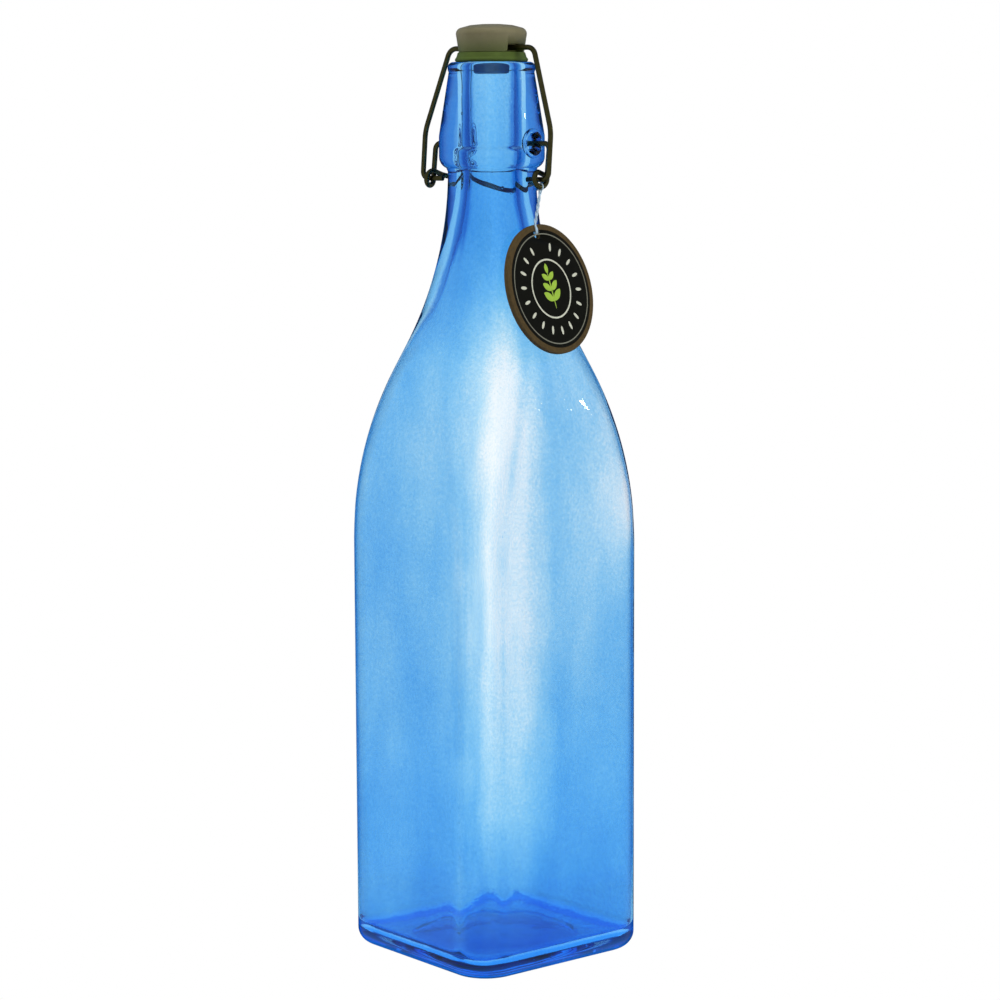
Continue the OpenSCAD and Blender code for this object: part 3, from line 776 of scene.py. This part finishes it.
lever = wire_mesh(half_lever + mirrored(half_lever)[1:], WIRE_R, "lever_wire_bent", wire_steel)
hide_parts("lever_wire")
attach(lever, "lever")


# ---------------------------------------------------------------- hang tag
# The tag is a round of thick brown board. Both faces are printed with a black disc that
# leaves a brown border, and on it rings, short strokes and a sprig.

TAG_R = 22.3
TAG_T = 1.8
TAG_HOLE_R = 1.6
TAG_HOLE_IN = 3.4
TAG_LEAN = math.radians(13.83)
TAG_PRINT_R = 20.3
TAG_ASKEW = math.radians(6.5)
TAG_X = 22.0
TAG_DROP = 18.6
tag_hole = Vector((TAG_X, -EYE_BACK, EYE_Z - TAG_DROP))

# The board lies flat round the hole: +Y is up the tag and +Z is its outer face
tag_place = (
    turned
    @ Matrix.Translation(tag_hole)
    @ Matrix(((0, 0, 1, 0), (1, 0, 0, 0), (0, 1, 0, 0), (0, 0, 0, 1)))
    @ Matrix.Rotation(-TAG_LEAN, 4, "X")
    @ Matrix.Rotation(TAG_ASKEW, 4, "Z")
)
tag_middle = Matrix.Translation((0, TAG_HOLE_IN - TAG_R, 0))

# Brown kraft board: the cut edge shows its pulp
kraft_board, out = new_material("kraft board edge")
tone, pulp = two_tone(kraft_board, 900.0, 4.0, 0.7, "#33290F", "#5F4C2A")
fibres = add_node(kraft_board, "ShaderNodeBump", Height=pulp, Strength=0.5, Distance=0.0002)
board = add_node(kraft_board, "ShaderNodeBsdfPrincipled", Base_Color=tone, Roughness=0.8,
                 Normal=fibres)
kraft_board.node_tree.links.new(board.outputs["BSDF"], out.inputs["Surface"])

# Black ink on board, slightly uneven over the fibres
black_ink, out = new_material("black printed board")
tone, uneven = two_tone(black_ink, 700.0, 4.0, 0.6, "#070805", "#11120B")
print_skin = add_node(black_ink, "ShaderNodeBump", Height=uneven, Strength=0.3,
                      Distance=0.0001)
ink = add_node(black_ink, "ShaderNodeBsdfPrincipled", Base_Color=tone, Roughness=0.6,
               Specular_IOR_Level=0.12, Normal=print_skin)
black_ink.node_tree.links.new(ink.outputs["BSDF"], out.inputs["Surface"])


def printed(name, dark, light):
    """Opaque ink of one colour, worn a little where the board is rough."""
    material, output = new_material(name)
    tones = two_tone(material, 1100.0, 3.0, 0.5, dark, light)[0]
    face = add_node(material, "ShaderNodeBsdfPrincipled", Base_Color=tones, Roughness=0.6)
    material.node_tree.links.new(face.outputs["BSDF"], output.inputs["Surface"])
    return material


pale_ink = printed("pale printed ink", "#B9BCA6", "#D9DBCB")
grey_ink = printed("grey printed ink", "#6C6D5C", "#86877A")
lime_ink = printed("lime printed ink", "#8FB52E", "#A9CC4A")

half = TAG_T / 2
soft = 0.35
bm = bmesh.new()
bmesh.ops.create_circle(bm, cap_ends=True, radius=TAG_R, segments=128)
made = bmesh.ops.extrude_face_region(bm, geom=bm.faces[:])["geom"]
raised = [v for v in made if isinstance(v, bmesh.types.BMVert)]
bmesh.ops.translate(bm, vec=(0, 0, TAG_T), verts=raised)
bmesh.ops.translate(bm, vec=(0, 0, -half), verts=bm.verts)
rims = [e for e in bm.edges if abs(e.verts[0].co.z - e.verts[1].co.z) < 1e-6]
bmesh.ops.bevel(bm, geom=rims, offset=soft, segments=3, profile=0.5, affect="EDGES", material=-1)
faces = [f for f in bm.faces if len(f.verts) > 8]
bmesh.ops.inset_region(bm, faces=faces, thickness=TAG_R - soft - TAG_PRINT_R)
bmesh.ops.transform(bm, matrix=tag_place @ tag_middle, verts=bm.verts)
tag = finish_mesh(bm, "hang_tag_board", kraft_board, sharp=30)
bm = bmesh.new()
bmesh.ops.create_cone(
    bm, cap_ends=True, segments=48, radius1=TAG_HOLE_R, radius2=TAG_HOLE_R, depth=6
)
bmesh.ops.transform(bm, matrix=tag_place, verts=bm.verts)
cut_or_join(tag, finish_mesh(bm, "tag_punch", kraft_board), "DIFFERENCE")
tag.data.materials.clear()
tag.data.materials.append(kraft_board)
tag.data.materials.append(black_ink)
tag_normal = (tag_place.to_3x3() @ Vector((0, 0, 1))).normalized()
for face in tag.data.polygons:
    printed_face = abs(face.normal.dot(tag_normal)) > 0.97 and face.area > 1e-4
    face.material_index = 1 if printed_face else 0
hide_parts("hang_tag")
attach(tag, "tag")

# The print stands a few hundredths of a millimetre proud, on both faces: a thin border, a
# ring with short strokes round it, and a sprig
INK = 0.03
BORDER = (18.7, 19.1)
RING = (9.7, 10.3)
STROKES = 18
STROKES_R = 14.5


def flat_ring(bm, inner, outer, z):
    """A flat printed ring."""
    circles = []
    for r in (inner, outer):
        circle = bmesh.ops.create_circle(bm, cap_ends=False, radius=r, segments=96)
        bmesh.ops.translate(bm, vec=(0, 0, z), verts=circle["verts"])
        circles += list({e for v in circle["verts"] for e in v.link_edges})
    bmesh.ops.bridge_loops(bm, edges=circles)


def flat_spot(bm, x, y, rx, ry, turn, z):
    """A flat printed oval."""
    oval = bmesh.ops.create_circle(bm, cap_ends=True, radius=1, segments=20)["verts"]
    bmesh.ops.scale(bm, vec=(rx, ry, 1), verts=oval)
    bmesh.ops.rotate(bm, matrix=Matrix.Rotation(turn, 3, "Z"), verts=oval)
    bmesh.ops.translate(bm, vec=(x, y, z), verts=oval)


def leaf(bm, x, y, length, width, turn, z):
    """A flat printed leaf with two pointed ends."""
    oval = bmesh.ops.create_circle(bm, cap_ends=True, radius=1, segments=32)["verts"]
    for v in oval:
        v.co.y *= (1 - v.co.x * v.co.x) ** 0.35 if abs(v.co.x) < 1 else 0
    bmesh.ops.scale(bm, vec=(length / 2, width / 2, 1), verts=oval)
    bmesh.ops.translate(bm, vec=(length / 2, 0, 0), verts=oval)
    bmesh.ops.rotate(bm, matrix=Matrix.Rotation(turn, 3, "Z"), verts=oval)
    bmesh.ops.translate(bm, vec=(x, y, z), verts=oval)


def print_piece(bm, name, material):
    """Prints on the front, and mirrored on the back."""
    bmesh.ops.recalc_face_normals(bm, faces=bm.faces)
    for face in bm.faces:
        if face.normal.z < 0:
            face.normal_flip()
    back = bmesh.ops.duplicate(bm, geom=bm.verts[:] + bm.edges[:] + bm.faces[:])["geom"]
    bmesh.ops.rotate(bm, matrix=Matrix.Rotation(math.pi, 3, "Y"),
                     verts=[v for v in back if isinstance(v, bmesh.types.BMVert)])
    bmesh.ops.transform(bm, matrix=tag_place @ tag_middle, verts=bm.verts)
    bmesh.ops.scale(bm, vec=(MM, MM, MM), verts=bm.verts)
    mesh = bpy.data.meshes.new(name)
    bm.to_mesh(mesh)
    bm.free()
    mesh.materials.append(material)
    piece = bpy.data.objects.new(name, mesh)
    bpy.context.scene.collection.objects.link(piece)
    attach(piece, "tag")


ink_z = half + INK
bm = bmesh.new()
flat_ring(bm, *BORDER, ink_z)
print_piece(bm, "tag_border", grey_ink)

bm = bmesh.new()
flat_ring(bm, *RING, ink_z)
for i in range(1, STROKES):
    t = math.radians(90 + 360 / STROKES * i)
    flat_spot(bm, STROKES_R * math.cos(t), STROKES_R * math.sin(t), 1.5, 0.55, t, ink_z)
print_piece(bm, "tag_pale_print", pale_ink)

bm = bmesh.new()
flat_spot(bm, 0, 0, 0.28, 7.2, 0, ink_z)
for i in range(3):
    for side in (-1, 1):
        y = -4.2 + 3.6 * i
        turn = math.radians(90 - side * 52)
        leaf(bm, 0, y, 5.6 - 0.8 * i, 2.6 - 0.3 * i, turn, ink_z)
leaf(bm, 0, 5.2, 3.6, 1.8, math.radians(90), ink_z)
print_piece(bm, "tag_sprig", lime_ink)


# ---------------------------------------------------------------- tag tie
# The tie is a doubled clear nylon line: a small loop round the wire of the lever's eye, a
# twisted run, and a loop that spreads over the tag's face and through its hole.

LINE_R = 0.3
EYE_LOOP_R = 1.22
TWIST_R = 0.26
TWIST_TURNS = 2.5
KNOT_R = 0.62
RING_UP = 3.1
loop_top = Vector((ARM_X - EYE_PITCH * 0.42, -EYE_BACK, EYE_Z - EYE_R))
fork = tag_hole + Vector((0, 0, RING_UP))

# Nylon line, pale and a little clear
nylon, out = new_material("clear nylon line")
line = add_node(nylon, "ShaderNodeBsdfPrincipled", Base_Color=to_linear("#C9E6F8"),
                Roughness=0.3, IOR=1.53, Transmission_Weight=0.2)
nylon.node_tree.links.new(line.outputs["BSDF"], out.inputs["Surface"])

eye_loop = []
for i in range(25):
    t = 2 * math.pi * (i + 0.5) / 26 - math.pi / 2
    eye_loop.append(loop_top + Vector((
        EYE_LOOP_R * math.cos(t), 0.12 * math.sin(t / 2), EYE_LOOP_R * math.sin(t)
    )))
run_top = loop_top - Vector((0, 0, EYE_LOOP_R + 0.13))
strands = [wire_mesh(eye_loop, 0.24, "tie_eye_loop", nylon, sides=12)]
for phase in (0, math.pi):
    twisted = []
    for i in range(41):
        share = i / 40
        t = phase + 2 * math.pi * TWIST_TURNS * share
        twisted.append(
            run_top.lerp(fork, share) + Vector((TWIST_R * math.cos(t), TWIST_R * math.sin(t), 0))
        )
    strands.append(wire_mesh(twisted, LINE_R, "tie_twist", nylon, sides=12))
knot = bmesh.new()
bmesh.ops.create_icosphere(knot, subdivisions=3, radius=KNOT_R)
bmesh.ops.translate(knot, vec=run_top, verts=knot.verts)
bmesh.ops.transform(knot, matrix=turned, verts=knot.verts)
strands.append(finish_mesh(knot, "tie_knot", nylon))
for strand in strands:
    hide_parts("tag_tie")
    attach(strand, "tie")

# The lower loop moves with the tag: it lies on the outer face beside the hole
lean_up = Vector((-math.sin(TAG_LEAN), 0, math.cos(TAG_LEAN)))
lean_out = Vector((math.cos(TAG_LEAN), 0, math.sin(TAG_LEAN)))
for side in (-1, 1):
    over = tag_hole + lean_up * 1.9 + lean_out * (half + 0.34) + Vector((0, side * 0.30, 0))
    mouth = tag_hole + lean_up * 0.6 + lean_out * (half + 0.12) + Vector((0, side * 0.34, 0))
    route = [fork + Vector((0.1, side * 0.12, 0.1))]
    route += bend(fork, over, mouth, 1.6, 8)
    route += [mouth, tag_hole + Vector((0.0, side * 0.30, 0.2))]
    lower = wire_mesh(route, 0.28, "tie_tag_loop", nylon, sides=12)
    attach(lower, "tag")


# ---------------------------------------------------------------- floor and light
# A plain pale floor runs out to a white room, with a small strip lamp and a soft lamp at
# the right, a soft lamp at the left and another overhead.

# Seen through the glass, the room is white straight ahead and behind, and blue to each
# side, which draws deep lines along the glass's edges. Each pair is the cosine from
# straight ahead and a colour.
forward = (-math.sin(CAMERA_AZIMUTH), math.cos(CAMERA_AZIMUTH), 0)
SIDE_CARDS = (
    (0.0, "#3A7AC8"), (0.10, "#2E6CBC"), (0.22, "#1F5BA8"), (0.50, "#2C6CBC"),
    (0.72, "#6FA6DE"), (0.82, "#7CAFE2"), (0.93, "#FFFFFF"), (1.0, "#FFFFFF"),
)
FLOOR_R = 4.0
CARD_LIGHT = 1.06
ROOM_LIGHT = 0.3
WHITE = (1, 1, 1, 1)


def card_colour(material, level):
    """How far a level heading is from straight ahead, and the cards' colour there."""
    unit = add_node(material, "ShaderNodeVectorMath", {"operation": "NORMALIZE"}, i0=level)
    ahead = add_node(material, "ShaderNodeVectorMath", {"operation": "DOT_PRODUCT"},
                     i0=unit, i1=forward)
    either_way = add_node(material, "ShaderNodeMath", {"operation": "ABSOLUTE"}, i0=ahead)
    cards = add_node(material, "ShaderNodeValToRGB", Fac=either_way)
    fill_ramp(cards.color_ramp, SIDE_CARDS)
    return ahead, cards


def by_ray(material, lit, straight, through):
    """One shader for light and reflections, one seen straight and one through the glass."""
    path = add_node(material, "ShaderNodeLightPath").outputs
    seen = add_node(material, "ShaderNodeMixShader", i0=path["Is Camera Ray"],
                    i1=lit, i2=straight)
    return add_node(material, "ShaderNodeMixShader", i0=path["Is Transmission Ray"],
                    i1=seen, i2=through)


# Matt white card. Seen straight it is as bright as the room behind it, so that no horizon
# shows. Seen through the glass it is white near the bottle and takes the cards' colour
# further out.
floor_paint, out = new_material("matt white card floor")
place = add_node(floor_paint, "ShaderNodeTexCoord").outputs["Object"]
cards = card_colour(floor_paint, place)[1]
from_bottle = add_node(floor_paint, "ShaderNodeVectorMath", {"operation": "LENGTH"}, i0=place)
away = add_node(floor_paint, "ShaderNodeMapRange", {"interpolation_type": "SMOOTHSTEP"},
                Value=from_bottle, From_Min=0.15, From_Max=0.5, To_Min=0.0, To_Max=1.0)
carded = add_node(floor_paint, "ShaderNodeMix", {"data_type": "RGBA"},
                  i0=away, i6=WHITE, i7=cards)
matt = add_node(floor_paint, "ShaderNodeBsdfDiffuse", Color=(0.80, 0.80, 0.80, 1))
bright = add_node(floor_paint, "ShaderNodeEmission", Color=WHITE, Strength=1.0)
behind = add_node(floor_paint, "ShaderNodeEmission", Color=carded, Strength=CARD_LIGHT)
paint = by_ray(floor_paint, matt, bright, behind)
floor_paint.node_tree.links.new(paint.outputs["Shader"], out.inputs["Surface"])

bm = bmesh.new()
bmesh.ops.create_circle(bm, cap_ends=True, radius=FLOOR_R, segments=96)
mesh = bpy.data.meshes.new("floor")
bm.to_mesh(mesh)
bm.free()
mesh.materials.append(floor_paint)
floor = bpy.data.objects.new("floor", mesh)
bpy.context.scene.collection.objects.link(floor)
floor.visible_glossy = False

# The room. Reflections see it dim, and bluer beyond the bottle. Seen through the glass it
# has the cards' colours and turns dark blue overhead.
world = bpy.data.worlds.new("white room")
world.use_nodes = True
world.node_tree.nodes.clear()
sky_out = world.node_tree.nodes.new("ShaderNodeOutputWorld")
heading = add_node(world, "ShaderNodeTexCoord").outputs["Generated"]
level = add_node(world, "ShaderNodeVectorMath", {"operation": "MULTIPLY"},
                 i0=heading, i1=(1, 1, 0))
ahead, cards = card_colour(world, level)
beyond = add_node(world, "ShaderNodeMapRange", {"interpolation_type": "SMOOTHSTEP"},
                  Value=ahead, From_Min=0.45, From_Max=0.85, To_Min=0.0, To_Max=1.0)
shade = add_node(world, "ShaderNodeMix", {"data_type": "RGBA"},
                 Factor=beyond, i6=WHITE, i7=to_linear("#3C7CD8"))
upright = add_node(world, "ShaderNodeSeparateXYZ", i0=heading).outputs["Z"]
steep = add_node(world, "ShaderNodeMath", {"operation": "ABSOLUTE"}, i0=upright)
overhead = add_node(world, "ShaderNodeMapRange", {"interpolation_type": "SMOOTHSTEP"},
                    Value=steep, From_Min=0.45, From_Max=0.75, To_Min=0.0, To_Max=0.85)
sky = add_node(world, "ShaderNodeMix", {"data_type": "RGBA"},
               Factor=overhead, i6=cards, i7=to_linear("#123C8C"))
room = add_node(world, "ShaderNodeBackground", Color=shade, Strength=ROOM_LIGHT)
white = add_node(world, "ShaderNodeBackground", Color=WHITE, Strength=1.0)
behind = add_node(world, "ShaderNodeBackground", Color=sky, Strength=CARD_LIGHT)
seen = by_ray(world, room, white, behind)
world.node_tree.links.new(seen.outputs["Shader"], sky_out.inputs["Surface"])
bpy.context.scene.world = world

LAMP_AIM = Vector((0, 0, 0.17))
LAMP_DISTANCE = 1.2


def lamp(name, turn, elevation, size, power, reflected=False):
    """A rectangular lamp, turned from the camera's side, that looks at the bottle's middle."""
    data = bpy.data.lights.new(name, "AREA")
    data.shape = "RECTANGLE"
    data.size, data.size_y = size
    data.energy = power
    light = bpy.data.objects.new(name, data)
    a, e = math.radians(50.5 + turn), math.radians(elevation)
    toward = Vector((math.sin(a) * math.cos(e), -math.cos(a) * math.cos(e), math.sin(e)))
    light.location = LAMP_AIM + toward * LAMP_DISTANCE
    light.rotation_mode = "QUATERNION"
    light.rotation_quaternion = toward.to_track_quat("Z", "Y")
    light.visible_glossy = reflected
    light.visible_transmission = False
    bpy.context.scene.collection.objects.link(light)


lamp("right strip lamp", 84, 17, (0.05, 0.06), 0.26, reflected=True)
lamp("right soft lamp", 55, 20, (0.5, 1.0), 6.0)
lamp("left soft lamp", -100, 25, (0.5, 1.0), 6.0)
lamp("top soft lamp", 0, 78, (1.0, 1.0), 7.0)

bpy.context.scene.view_settings.view_transform = "Standard"
